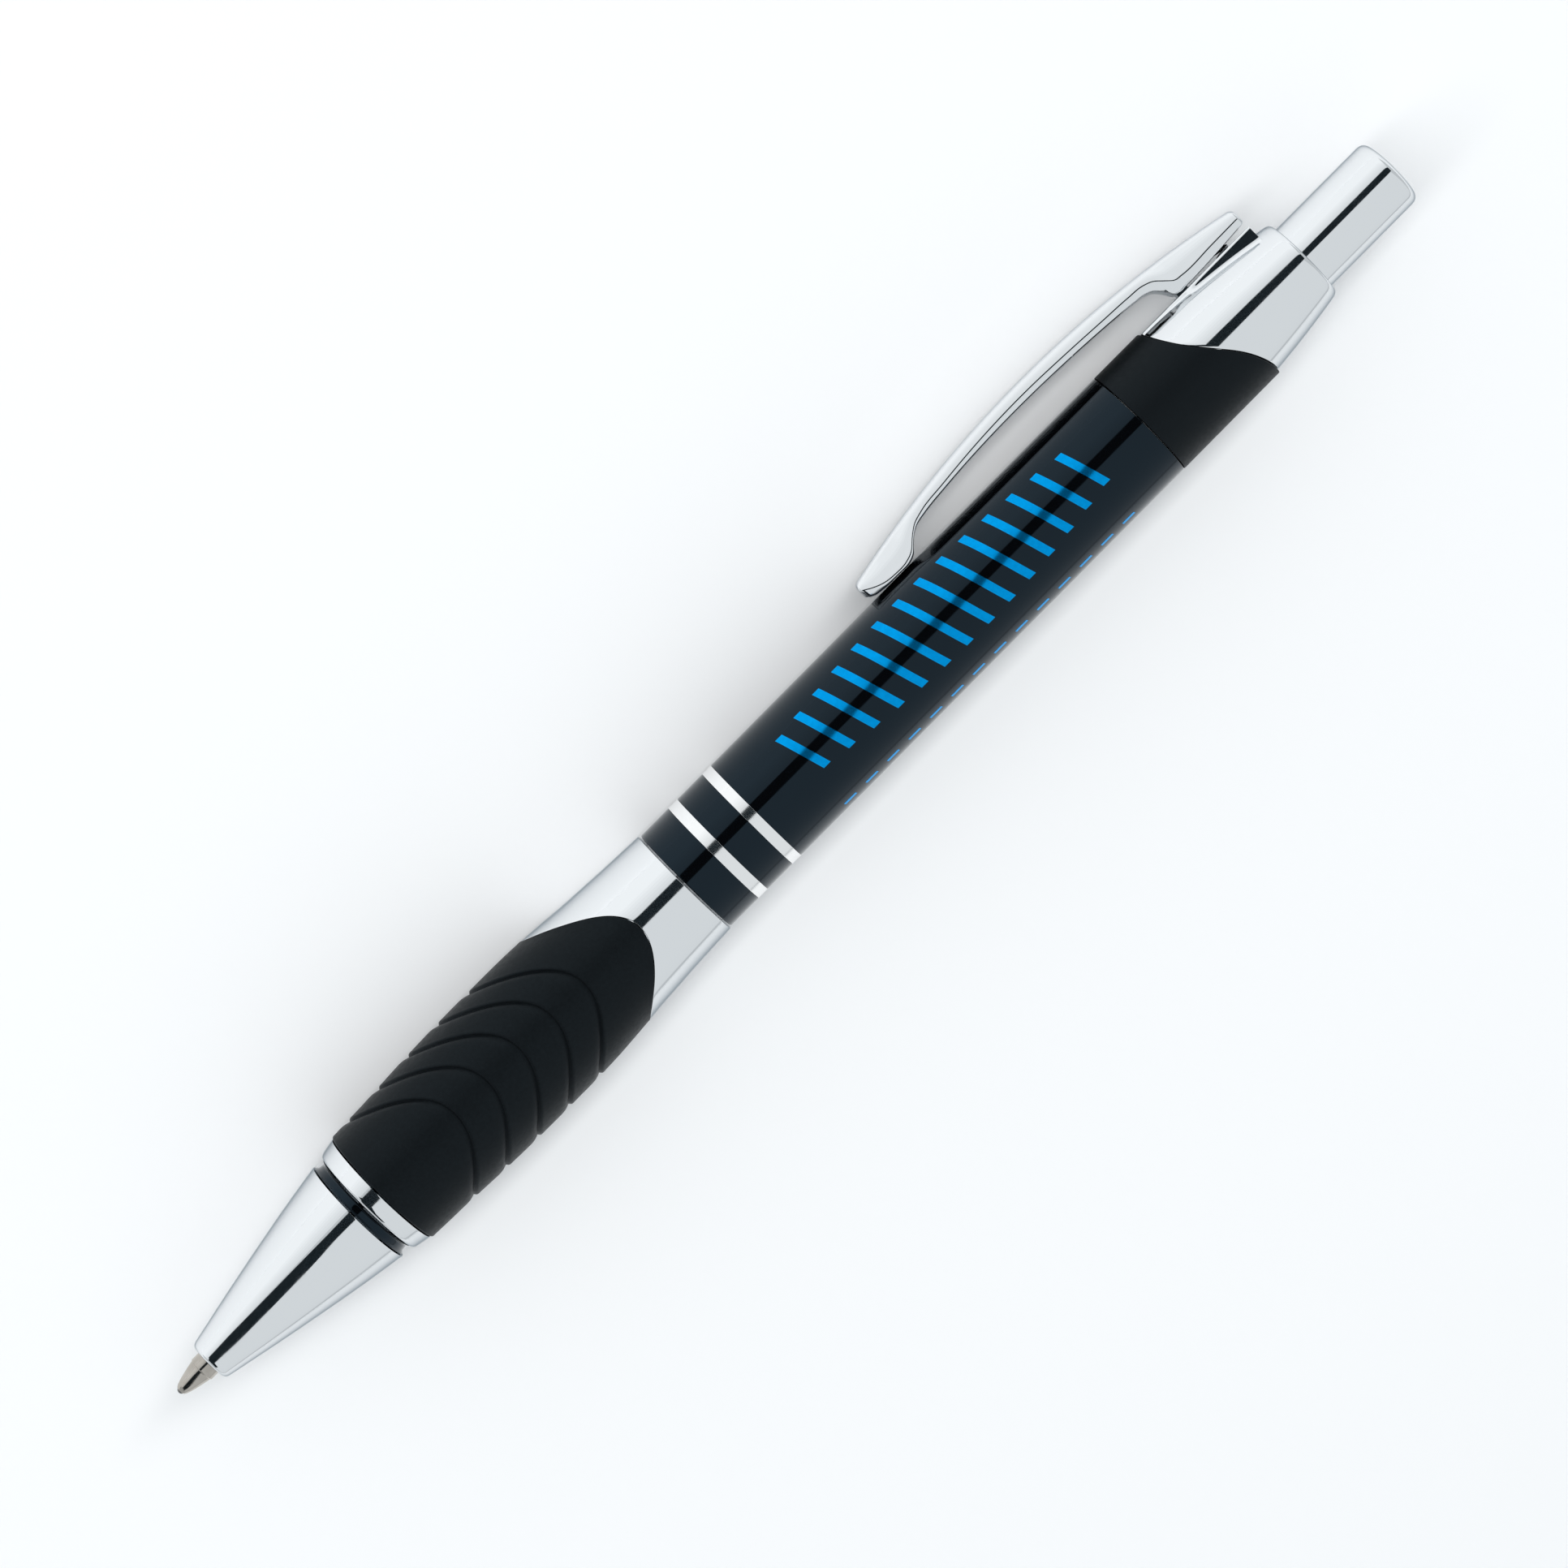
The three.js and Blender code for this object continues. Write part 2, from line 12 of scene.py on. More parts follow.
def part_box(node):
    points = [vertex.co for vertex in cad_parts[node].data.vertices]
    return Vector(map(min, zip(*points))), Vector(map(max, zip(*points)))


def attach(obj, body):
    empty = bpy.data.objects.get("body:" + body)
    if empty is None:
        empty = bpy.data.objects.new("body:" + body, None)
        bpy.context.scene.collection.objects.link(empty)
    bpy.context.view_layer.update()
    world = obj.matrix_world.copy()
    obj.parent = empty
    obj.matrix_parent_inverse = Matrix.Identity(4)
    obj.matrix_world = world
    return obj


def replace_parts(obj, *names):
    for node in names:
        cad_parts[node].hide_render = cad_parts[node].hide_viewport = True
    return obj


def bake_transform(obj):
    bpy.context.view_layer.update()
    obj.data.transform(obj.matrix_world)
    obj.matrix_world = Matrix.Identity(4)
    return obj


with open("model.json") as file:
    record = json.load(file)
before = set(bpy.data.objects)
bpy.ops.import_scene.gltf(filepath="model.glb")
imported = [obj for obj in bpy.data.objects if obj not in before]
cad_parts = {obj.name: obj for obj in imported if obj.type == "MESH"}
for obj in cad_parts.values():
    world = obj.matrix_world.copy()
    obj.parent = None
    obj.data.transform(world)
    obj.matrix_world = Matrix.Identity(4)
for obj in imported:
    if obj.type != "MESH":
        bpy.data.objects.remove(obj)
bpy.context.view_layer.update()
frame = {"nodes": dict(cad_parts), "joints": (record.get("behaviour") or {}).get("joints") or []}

# The pen's own frame, in millimetres: x runs from the ball of the point to the button, y to the clip and
# z across the clip, towards the side that the camera sees.

MM = 0.001
JOINTS = {joint["name"]: joint for joint in frame["joints"]}
ALONG = Vector((1, 0, 0))
ACROSS = -Vector(JOINTS["clip_hinge"]["axis"]).normalized()
UP = ACROSS.cross(ALONG)
barrel_low, barrel_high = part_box("barrel_tube")
POINT = (barrel_low + barrel_high) / 2
POINT.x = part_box("tip_ball")[0].x
PEN = np.array([ALONG, UP, ACROSS]) * MM


def placed(points):
    """Points of the pen's frame, in millimetres, as points of the row frame, in metres."""
    return np.asarray(points, float) @ PEN + np.array(POINT)


def along(node):
    """Where a CAD node starts and ends along the pen, in millimetres from the ball."""
    low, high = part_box(node)
    return (low.x - POINT.x) / MM, (high.x - POINT.x) / MM


BARREL_RADIUS = (barrel_high.z - barrel_low.z) / 2 / MM
LENGTH = along("plunger_button")[1]
SEGMENTS = 160

NOSE = along("nose_cone")
NOSE_RING = along("nose_ring")
FERRULE = along("grip_ferrule")
GRIP_FRONT = along("rubber_grip")[0]
FRONT_SECTION = along("front_section")
BARREL = along("barrel_tube")
COLLAR_FRONT = along("rear_collar")[0]
CAP_FRONT, CAP_END = along("end_cap")
CLIP_FRONT, CLIP_REAR = along("clip")

# Radii and stations of the hidden surfaces, as on the CAD solids
BORE_GAP = 0.08
POINT_HOLE = 1.3
SPRING_POCKET, SPRING_POCKET_FRONT = 2.62, 10.4
SPIGOT_RADIUS, SPIGOT_SOCKET = 3.5, 14.6
SPIGOT_BORE = 3.15
GRIP_CORE = 4.82
WAIST_FRONT, WAIST_REAR, WAIST_BORE = 24.4, 46.4, 4.15
BARREL_BORE, BUSH_SOCKET = 4.35, 50.1
COLLAR_BORE = 4.33
CAP_SPIGOT, CAP_BORE, CAP_SHOULDER = 4.25, 3.32, 119.7
SLEEVE_RADIUS, SLEEVE_REAR = 3.7, 112.0
PLUNGER_RADIUS, PLUNGER_BORE, PLUNGER_BORE_END = 3.2, 2.3, 134.4
FLANGE_RADIUS, FLANGE_BORE, FLANGE_FRONT, FLANGE_REAR = 3.55, 3.62, 113.6, 114.6
TIP_RADIUS, TIP_REAR = 1.15, 8.3
BALL_RADIUS, BALL_SOCKET = 0.35, 0.38


# Curves and outlines


def curve(*points):
    """A smooth function through points given as (x, value), which keeps the end values past either end."""
    xs, ys = np.array(points, float).T
    slopes = np.gradient(ys, xs)

    def value(x):
        i = int(np.clip(np.searchsorted(xs, x) - 1, 0, len(xs) - 2))
        step = xs[i + 1] - xs[i]
        t = float(np.clip((x - xs[i]) / step, 0, 1))
        rise = ys[i] * (1 + 2 * t) * (1 - t) ** 2 + ys[i + 1] * t * t * (3 - 2 * t)
        return rise + step * (slopes[i] * t * (1 - t) ** 2 + slopes[i + 1] * t * t * (t - 1))

    return value


def smooth_min(a, b, blend):
    """The smaller of two values, eased over a distance of blend where they cross."""
    h = max(blend - abs(a - b), 0) / blend
    return min(a, b) - h * h * blend / 4


def smooth_max(a, b, blend):
    return -smooth_min(-a, -b, blend)


def rounded(corners, steps=5):
    """An outline with its corners rounded: each corner is (x, radius) or (x, radius, rounding)."""
    outline = []
    for i, corner in enumerate(corners):
        here = np.array(corner[:2], float)
        if len(corner) < 3:
            outline.append(tuple(here))
            continue
        arms = []
        for other in (corners[i - 1], corners[(i + 1) % len(corners)]):
            arm = np.array(other[:2], float) - here
            reach = np.linalg.norm(arm)
            arms.append((arm / reach, min(corner[2], 0.45 * reach), 0.49 * reach))
        (back, back_reach, back_far), (on, on_reach, on_far) = arms
        start, end = here + back * back_reach, here + on * on_reach
        outline.append(tuple(here + back * min(1.5 * back_reach, back_far)))
        for t in np.linspace(0, 1, steps + 1):
            outline.append(tuple((1 - t) ** 2 * start + 2 * t * (1 - t) * here + t * t * end))
        outline.append(tuple(here + on * min(1.5 * on_reach, on_far)))
    return outline


nose_radius = curve((3.6, 1.88), (5, 2.17), (8, 2.80), (11, 3.40), (14, 3.97), (17, 4.51), (20.75, 5.10))
grip_radius = curve(
    (23.5, 5.73), (25, 5.79), (27.5, 5.86), (30, 5.99), (33, 6.11), (36, 6.18), (39.5, 6.2),
    (42.5, 6.19), (44.5, 6.14), (46, 6.05), (48, 5.9), (50, 5.72), (52, 5.6), (54, 5.48), (58.5, 5.28),
)
collar_rise = curve(
    (0, 0), (25, 0.2), (46, 0.7), (65, 1.5), (83, 2.65), (95, 3.5), (106, 4.25), (117, 4.85), (130, 5.35),
    (150, 5.8), (180, 6.0),
)
COLLAR_EDGE_LOW = 115.8


def grip_wave(angle, swing):
    """The curved edges of the grip: how far they shift along the pen, by the angle from the clip."""
    harmonics = (1.1, swing, 0.37, 0.12)
    return -sum(size * math.cos((i + 1) * angle) for i, size in enumerate(harmonics))


def grip_edge(angle):
    return 50.45 + grip_wave(angle, 3.2)


def collar_edge(angle):
    """The collar's rear edge climbs away from the clip and then runs square round the far side."""
    return COLLAR_EDGE_LOW + collar_rise(math.degrees(math.acos(math.cos(angle))))


def cap_radius(x):
    share = max(0.0, (x - COLLAR_EDGE_LOW) / (CAP_END - COLLAR_EDGE_LOW))
    return BARREL_RADIUS - 1.25 * share**1.8


# Meshes


def add_piece(name, points, faces, body, material):
    """A smooth-shaded mesh in place, riding on its body."""
    mesh = bpy.data.meshes.new(name)
    mesh.from_pydata(placed(points).tolist(), [], faces)
    cleaned = bmesh.new()
    cleaned.from_mesh(mesh)
    bmesh.ops.remove_doubles(cleaned, verts=cleaned.verts, dist=1e-7)
    bmesh.ops.recalc_face_normals(cleaned, faces=cleaned.faces)
    cleaned.to_mesh(mesh)
    cleaned.free()
    piece = bpy.data.objects.new(name, mesh)
    bpy.context.scene.collection.objects.link(piece)
    mesh.materials.append(material)
    smooth(piece)
    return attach(piece, body) if body else piece


def smooth(piece, sharp=38):
    """Smooth shading, with an edge kept wherever the surface turns by more than sharp degrees."""
    piece.data.shade_smooth()
    piece.data.set_sharp_from_angle(angle=math.radians(sharp))


def woven(rings, wrap_rings=True, wrap_points=True):
    """The points of equally long rings in one list, and the quads that join each ring to the next."""
    count, size = len(rings), len(rings[0])
    faces = []
    for i in range(count if wrap_rings else count - 1):
        here, there = i * size, (i + 1) % count * size
        for j in range(size if wrap_points else size - 1):
            k = (j + 1) % size
            faces.append([here + j, there + j, there + k, here + k])
    return np.concatenate(rings), faces


def turned(name, outline_at, body, material, solid=False, angles=None):
    """Turns an outline about the pen's axis. A solid one starts and ends on the axis."""
    if angles is None:
        angles = np.linspace(0, 2 * math.pi, SEGMENTS, endpoint=False)
    rings = []
    for angle in angles:
        outline = np.array(outline_at(angle))
        swing = (outline[:, 1] * math.cos(angle), outline[:, 1] * math.sin(angle))
        rings.append(np.column_stack([outline[:, 0], *swing]))
    points, faces = woven(rings, wrap_points=not solid)
    return add_piece(name, points, faces, body, material)


def fixed(corners):
    """A rounded outline that is the same at every angle."""
    outline = rounded(corners)
    return lambda angle: outline


def coil(name, start, end, side, radius, wire, turns, material):
    """A helical spring between two points of the pen's frame; side is a direction across its axis."""
    start, end, side = (np.array(v, float) for v in (start, end, side))
    axis = (end - start) / np.linalg.norm(end - start)
    other = np.cross(axis, side)
    steps_per_turn, wire_sides = 28, 10
    round_wire = np.linspace(0, 2 * math.pi, wire_sides, endpoint=False)
    rings = []
    for t in np.linspace(0, 1, turns * steps_per_turn + 1):
        turn = t * turns * 2 * math.pi
        outward = side * math.cos(turn) + other * math.sin(turn)
        centre = start + (end - start) * t + outward * radius
        rings.append([centre + wire * (outward * math.cos(a) + axis * math.sin(a)) for a in round_wire])
    points, faces = woven([np.array(ring) for ring in rings], wrap_rings=False)
    size = len(rings[0])
    faces += [list(range(size)), list(range(len(points) - size, len(points)))]
    return add_piece(name, points, faces, None, material)


def block(low, high):
    """A plain box in the pen's frame, used to cut or join."""
    points = [(x, y, z) for x in (low[0], high[0]) for y in (low[1], high[1]) for z in (low[2], high[2])]
    faces = [(0, 1, 3, 2), (4, 6, 7, 5), (0, 4, 5, 1), (2, 3, 7, 6), (0, 2, 6, 4), (1, 5, 7, 3)]
    return add_piece("block", points, faces, None, None)


def rod(start, end, radius):
    """A plain cylinder in the pen's frame, used to cut."""
    count = 32
    start, end = np.array(start, float), np.array(end, float)
    axis = (end - start) / np.linalg.norm(end - start)
    side = np.cross(axis, (1, 0, 0))
    other = np.cross(axis, side)
    turns = np.linspace(0, 2 * math.pi, count, endpoint=False)
    circle = np.array([radius * (side * math.cos(a) + other * math.sin(a)) for a in turns])
    points, faces = woven([start + circle, end + circle], wrap_rings=False)
    ends = [list(range(count)), list(range(count, 2 * count))]
    return add_piece("rod", points, faces + ends, None, None)


def combine(piece, tool, operation):
    """Cuts the tool from the piece or joins it on, and removes the tool."""
    change = piece.modifiers.new("combine", "BOOLEAN")
    change.object = tool
    change.operation = operation
    change.solver = "EXACT"
    bpy.context.view_layer.update()
    result = bpy.data.meshes.new_from_object(piece.evaluated_get(bpy.context.evaluated_depsgraph_get()))
    piece.modifiers.clear()
    piece.data = result
    bpy.data.objects.remove(tool)


# Materials


def principled(name, color, metallic=0.0, roughness=0.4, specular=0.5, tint=None):
    material = bpy.data.materials.new(name)
    material.use_nodes = True
    shader = material.node_tree.nodes["Principled BSDF"]
    shader.inputs["Base Color"].default_value = (*color, 1)
    shader.inputs["Metallic"].default_value = metallic
    shader.inputs["Roughness"].default_value = roughness
    shader.inputs["Specular IOR Level"].default_value = specular
    if tint:
        shader.inputs["Specular Tint"].default_value = (*tint, 1)
    return material


def noise(material, scale, detail=4.0, stretch=(1, 1, 1)):
    """Noise in the row frame; scale is in cells per metre."""
    tree = material.node_tree
    place = tree.nodes.new("ShaderNodeTexCoord")
    mapping = tree.nodes.new("ShaderNodeMapping")
    mapping.inputs["Scale"].default_value = stretch
    texture = tree.nodes.new("ShaderNodeTexNoise")
    texture.inputs["Scale"].default_value = scale
    texture.inputs["Detail"].default_value = detail
    tree.links.new(place.outputs["Object"], mapping.inputs["Vector"])
    tree.links.new(mapping.outputs["Vector"], texture.inputs["Vector"])
    return texture.outputs["Fac"]


def vary(material, socket, source, low, high):
    """Lets a noise swing a socket between two values."""
    start, end = 0.35, 0.65
    tree = material.node_tree
    shader = tree.nodes["Principled BSDF"]
    if isinstance(low, (int, float)):
        ramp = tree.nodes.new("ShaderNodeMapRange")
        for key, value in zip(("From Min", "From Max", "To Min", "To Max"), (start, end, low, high)):
            ramp.inputs[key].default_value = value
        tree.links.new(source, ramp.inputs["Value"])
        tree.links.new(ramp.outputs["Result"], shader.inputs[socket])
        return
    ramp = tree.nodes.new("ShaderNodeValToRGB")
    for element, position, color in zip(ramp.color_ramp.elements, (start, end), (low, high)):
        element.position = position
        element.color = (*color, 1)
    tree.links.new(source, ramp.inputs["Fac"])
    tree.links.new(ramp.outputs["Color"], shader.inputs[socket])


def bump(material, source, height):
    """A relief of that height, in metres."""
    tree = material.node_tree
    node = tree.nodes.new("ShaderNodeBump")
    node.inputs["Distance"].default_value = height
    node.inputs["Strength"].default_value = 1.0
    tree.links.new(source, node.inputs["Height"])
    tree.links.new(node.outputs["Normal"], tree.nodes["Principled BSDF"].inputs["Normal"])


def plated_chrome():
    """Bright plate with faint clouding and the slight waviness of a polished casting."""
    material = principled("chrome_plate", (0.86, 0.875, 0.885), metallic=1.0, tint=(0.38, 0.42, 0.45))
    vary(material, "Roughness", noise(material, 420, 6), 0.035, 0.085)
    bump(material, noise(material, 260, 2), 3e-6)
    return material


def bright_cut():
    material = principled("bright_cut_metal", (0.95, 0.95, 0.945), metallic=1.0)
    vary(material, "Roughness", noise(material, 3000, 3, (40, 1, 1)), 0.07, 0.16)
    return material


def lacquer():
    material = principled("black_lacquer", (0.0012, 0.0014, 0.0018), tint=(0.38, 0.6, 0.8))
    vary(material, "Roughness", noise(material, 500, 5), 0.045, 0.09)
    bump(material, noise(material, 380, 2), 2.5e-6)
    return material


def grip_rubber():
    """Fine moulded grain with a dusty sheen."""
    dark, light = (0.0024, 0.0031, 0.0037), (0.0034, 0.0045, 0.0053)
    material = principled("grip_rubber", dark, specular=0.17, tint=(0.7, 0.88, 1.0))
    vary(material, "Base Color", noise(material, 3500, 4), dark, light)
    vary(material, "Roughness", noise(material, 2500, 4), 0.42, 0.5)
    bump(material, noise(material, 7000, 3), 9e-6)
    return material


def satin_black():
    material = principled("satin_black", (0.0028, 0.0036, 0.0043), specular=0.18, tint=(0.7, 0.88, 1.0))
    vary(material, "Roughness", noise(material, 2500, 4), 0.46, 0.54)
    bump(material, noise(material, 9000, 2), 5e-6)
    return material


def imprint_ink():
    """A pearl ink: it mirrors the studio softly, so its blue darkens with the lacquer's."""
    material = principled("imprint_ink", (0.0, 0.32, 0.76), metallic=0.88, roughness=0.15, specular=0.1)
    vary(material, "Base Color", noise(material, 2600, 4), (0.0, 0.305, 0.73), (0.0, 0.335, 0.79))
    return material


def metal(name, low, high, rough_low, rough_high, stretch=(1, 1, 1)):
    """A turned or drawn metal whose tool marks run round or along it."""
    material = principled(name, low, metallic=1.0)
    vary(material, "Base Color", noise(material, 900, 4), low, high)
    vary(material, "Roughness", noise(material, 1500, 4, stretch), rough_low, rough_high)
    bump(material, noise(material, 2500, 2, stretch), 1.5e-6)
    return material


def plastic(name, low, high, roughness):
    material = principled(name, low, specular=0.45)
    vary(material, "Base Color", noise(material, 600, 4), low, high)
    vary(material, "Roughness", noise(material, 1500, 4), roughness - 0.06, roughness + 0.06)
    bump(material, noise(material, 5000, 2), 3e-6)
    return material


CHROME = plated_chrome()
BRIGHT = bright_cut()
LACQUER = lacquer()
RUBBER = grip_rubber()
SATIN = satin_black()
INK = imprint_ink()
NICKEL = metal("nickel_silver", (0.44, 0.405, 0.36), (0.52, 0.485, 0.44), 0.08, 0.15, (8, 1, 1))
STEEL = metal("spring_steel", (0.42, 0.43, 0.44), (0.5, 0.51, 0.52), 0.2, 0.32)
BALL = metal("ball_carbide", (0.16, 0.155, 0.15), (0.2, 0.195, 0.19), 0.12, 0.2)
BRASS = metal("turned_brass", (0.66, 0.47, 0.2), (0.74, 0.56, 0.28), 0.2, 0.34, (12, 1, 1))
ACETAL = plastic("acetal_white", (0.68, 0.68, 0.65), (0.74, 0.74, 0.71), 0.42)
BLUE = plastic("moulded_blue", (0.03, 0.09, 0.3), (0.04, 0.12, 0.36), 0.38)


# Front of the pen


def nose_cone():
    """Slightly swollen cone with a rounded lip, the hole for the point and the spring's pocket."""
    front, rear = NOSE
    socket = SPIGOT_RADIUS + BORE_GAP
    cone = [(x, nose_radius(x)) for x in np.linspace(front + 0.9, rear - 0.3, 26)]
    outline = fixed([
        (front, POINT_HOLE, 0.06), (front, nose_radius(front), 0.42), *cone, (rear, nose_radius(rear), 0.05),
        (rear, socket), (SPIGOT_SOCKET, socket), (SPIGOT_SOCKET, SPRING_POCKET),
        (SPRING_POCKET_FRONT, SPRING_POCKET), (SPRING_POCKET_FRONT, POINT_HOLE),
    ])
    return turned("nose_cone_shell", outline, "pen_body", CHROME)


def nose_ring():
    front, rear = NOSE_RING
    bore = SPIGOT_RADIUS + BORE_GAP
    outline = fixed([
        (front, bore), (front, 4.96, 0.04), (front + 0.2, 4.75, 0.14), (rear - 0.18, 4.7, 0.14),
        (rear, 4.93, 0.03), (rear, bore),
    ])
    return turned("nose_ring_gloss", outline, "pen_body", LACQUER)


def ferrule():
    front, rear = FERRULE
    bore = SPIGOT_RADIUS + BORE_GAP
    outline = fixed([(front, bore), (front, 5.3, 0.34), (rear, 5.6, 0.06), (rear, bore)])
    return turned("ferrule_ring", outline, "pen_body", CHROME)


GROOVES = 5
GROOVE_PITCH = 3.62
FIRST_GROOVE = 29.75
GROOVE_SHAPE = (
    (-1.0, 0.0), (-0.75, 0.012), (-0.5, 0.05), (-0.3, 0.105), (-0.14, 0.17), (-0.05, 0.215), (0.0, 0.23),
    (0.045, 0.21), (0.11, 0.12), (0.18, 0.045), (0.27, 0.0), (0.4, -0.012), (0.6, 0.0),
)


def grip_outline(angle):
    """Five creases cross the grip: each sinks slowly from the front and rises sharply behind."""
    edge = grip_edge(angle)
    stations = []
    last = GRIP_FRONT + 0.45
    for i in range(GROOVES):
        centre = FIRST_GROOVE + GROOVE_PITCH * i + grip_wave(angle, 2.73 + 0.07 * i)
        stations += [(x, 0.0) for x in np.linspace(last, centre + GROOVE_SHAPE[0][0], 6)[:-1]]
        stations += [(centre + offset, depth) for offset, depth in GROOVE_SHAPE]
        last = centre + GROOVE_SHAPE[-1][0] + 0.1
    stations += [(x, 0.0) for x in np.linspace(last, edge - 0.4, 8)]
    outside = [(x, grip_radius(x) - depth) for x, depth in stations]
    return rounded([
        (GRIP_FRONT, GRIP_CORE + BORE_GAP), (GRIP_FRONT, grip_radius(GRIP_FRONT) + 0.02, 0.25), *outside,
        (edge, grip_radius(edge) + 0.03, 0.14), (edge, GRIP_CORE + BORE_GAP),
    ])


def front_section_outline(angle):
    front, rear = FRONT_SECTION
    step = grip_edge(angle) + 0.05
    visible = [(x, grip_radius(x)) for x in np.linspace(step + 0.3, rear - 0.4, 14)]
    return rounded([
        (front, SPIGOT_BORE), (front, SPIGOT_RADIUS), (GRIP_FRONT, SPIGOT_RADIUS), (GRIP_FRONT, GRIP_CORE),
        (step, GRIP_CORE), (step, grip_radius(step) - 0.01, 0.05), *visible,
        (rear, grip_radius(rear), 0.1), (rear, BARREL_BORE), (BUSH_SOCKET, BARREL_BORE),
        (BUSH_SOCKET, SPIGOT_BORE), (WAIST_REAR, SPIGOT_BORE), (WAIST_REAR, WAIST_BORE),
        (WAIST_FRONT, WAIST_BORE), (WAIST_FRONT, SPIGOT_BORE),
    ])


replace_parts(nose_cone(), "nose_cone")
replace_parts(nose_ring(), "nose_ring")
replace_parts(ferrule(), "grip_ferrule")
grip_angles = np.linspace(0, 2 * math.pi, 240, endpoint=False)
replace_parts(turned("grip_sleeve", grip_outline, "pen_body", RUBBER, angles=grip_angles), "rubber_grip")
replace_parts(turned("front_section_shell", front_section_outline, "pen_body", CHROME), "front_section")


# Barrel, its bands and the imprint


BANDS = ("trim_ring_front", "trim_ring_rear")


def barrel():
    front, rear = BARREL
    grooves = []
    bottom = BARREL_RADIUS - 0.38
    for node in BANDS:
        start, end = along(node)
        start -= 0.02
        end += 0.02
        grooves += [(start, BARREL_RADIUS, 0.03), (start, bottom), (end, bottom), (end, BARREL_RADIUS, 0.03)]
    outline = fixed([
        (front, BARREL_BORE), (front, BARREL_RADIUS, 0.14), *grooves,
        (rear, BARREL_RADIUS, 0.06), (rear, BARREL_BORE),
    ])
    return turned("barrel_lacquered", outline, "pen_body", LACQUER)


def band(node):
    front, rear = along(node)
    inner, outer = BARREL_RADIUS - 0.31, BARREL_RADIUS + 0.005
    outline = fixed([(front, inner), (front, outer, 0.04), (rear, outer, 0.04), (rear, inner)])
    return turned(node + "_bright", outline, "pen_body", BRIGHT)


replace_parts(barrel(), "barrel_tube")
for node in BANDS:
    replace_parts(band(node), node)

IMPRINT_START, IMPRINT_END = 72.0, 105.5
INK_THICKNESS = 0.012
BARS = 14
BAR_WIDTH, BAR_CENTRE = 0.75, 82
DASH_WIDTH, DASH_FIRST, DASH_LAST = 1.3, 155, 159


def printed_bar(centre, width, first, last, slant):
    """A bar of ink that wraps the barrel from one angle to another, in degrees from the clip."""
    under, over = BARREL_RADIUS - INK_THICKNESS, BARREL_RADIUS + INK_THICKNESS
    rings = []
    for angle in np.linspace(first, last, 14):
        turn = math.radians(angle)
        middle = centre + slant * (angle - (first + last) / 2) / (last - first)
        left, right = middle - width / 2, middle + width / 2
        corners = ((left, under), (left, over), (right, over), (right, under))
        rings.append(np.array([(x, r * math.cos(turn), r * math.sin(turn)) for x, r in corners]))
    points, faces = woven(rings, wrap_rings=False)
    return points, faces + [[0, 1, 2, 3], [len(points) - 1 - i for i in range(4)]]


def imprint():
    """A plain decoration: slanted bars that swell to the middle, over a row of short dashes."""
    points, faces, count = [], [], 0
    margin = 0.8
    bars = []
    for i, x in enumerate(np.linspace(IMPRINT_START + margin, IMPRINT_END - margin, BARS)):
        half = 23 + 17 * math.sin(math.pi * (i + 0.5) / BARS)
        bars.append((x, BAR_WIDTH, BAR_CENTRE - half, BAR_CENTRE + half, half / 20))
        bars.append((x, DASH_WIDTH, DASH_FIRST, DASH_LAST, 0.1))
    for bar in bars:
        new_points, new_faces = printed_bar(*bar)
        points.append(new_points)
        faces += [[n + count for n in face] for face in new_faces]
        count += len(new_points)
    piece = add_piece("imprint_bars", np.concatenate(points), faces, "pen_body", INK)


imprint()


# Collar and cap


def collar_outline(angle):
    """A plain sleeve with a rounded, slanted rear edge."""
    edge = collar_edge(angle)
    return rounded([
        (COLLAR_FRONT, COLLAR_BORE), (COLLAR_FRONT, BARREL_RADIUS, 0.06), (edge, BARREL_RADIUS - 0.01, 0.1),
        (edge, COLLAR_BORE),
    ])


# The clip's ridge starts as a narrow rail and widens at a step.
RIDGE_FRONT, RIDGE_STEP, RIDGE_END = 117, 121.1, 128.15
RIDGE_TOP = 4.9
RAIL_HALF, RIDGE_HALF = 2.0, 2.3


def ridge_radius(x, angle):
    """How far the clip's ridge reaches from the axis in a direction: a flat top between upright sides."""
    if math.cos(angle) < 0.5:
        return 0.0
    top = RIDGE_TOP + 0.004 * (x - RIDGE_FRONT)
    widening = min(max((x - RIDGE_STEP) / 0.25, 0), 1)
    side = (RAIL_HALF + (RIDGE_HALF - RAIL_HALF) * widening) / max(abs(math.sin(angle)), 1e-6)
    return smooth_min(top / math.cos(angle), side, 0.2 + 0.14 * widening)


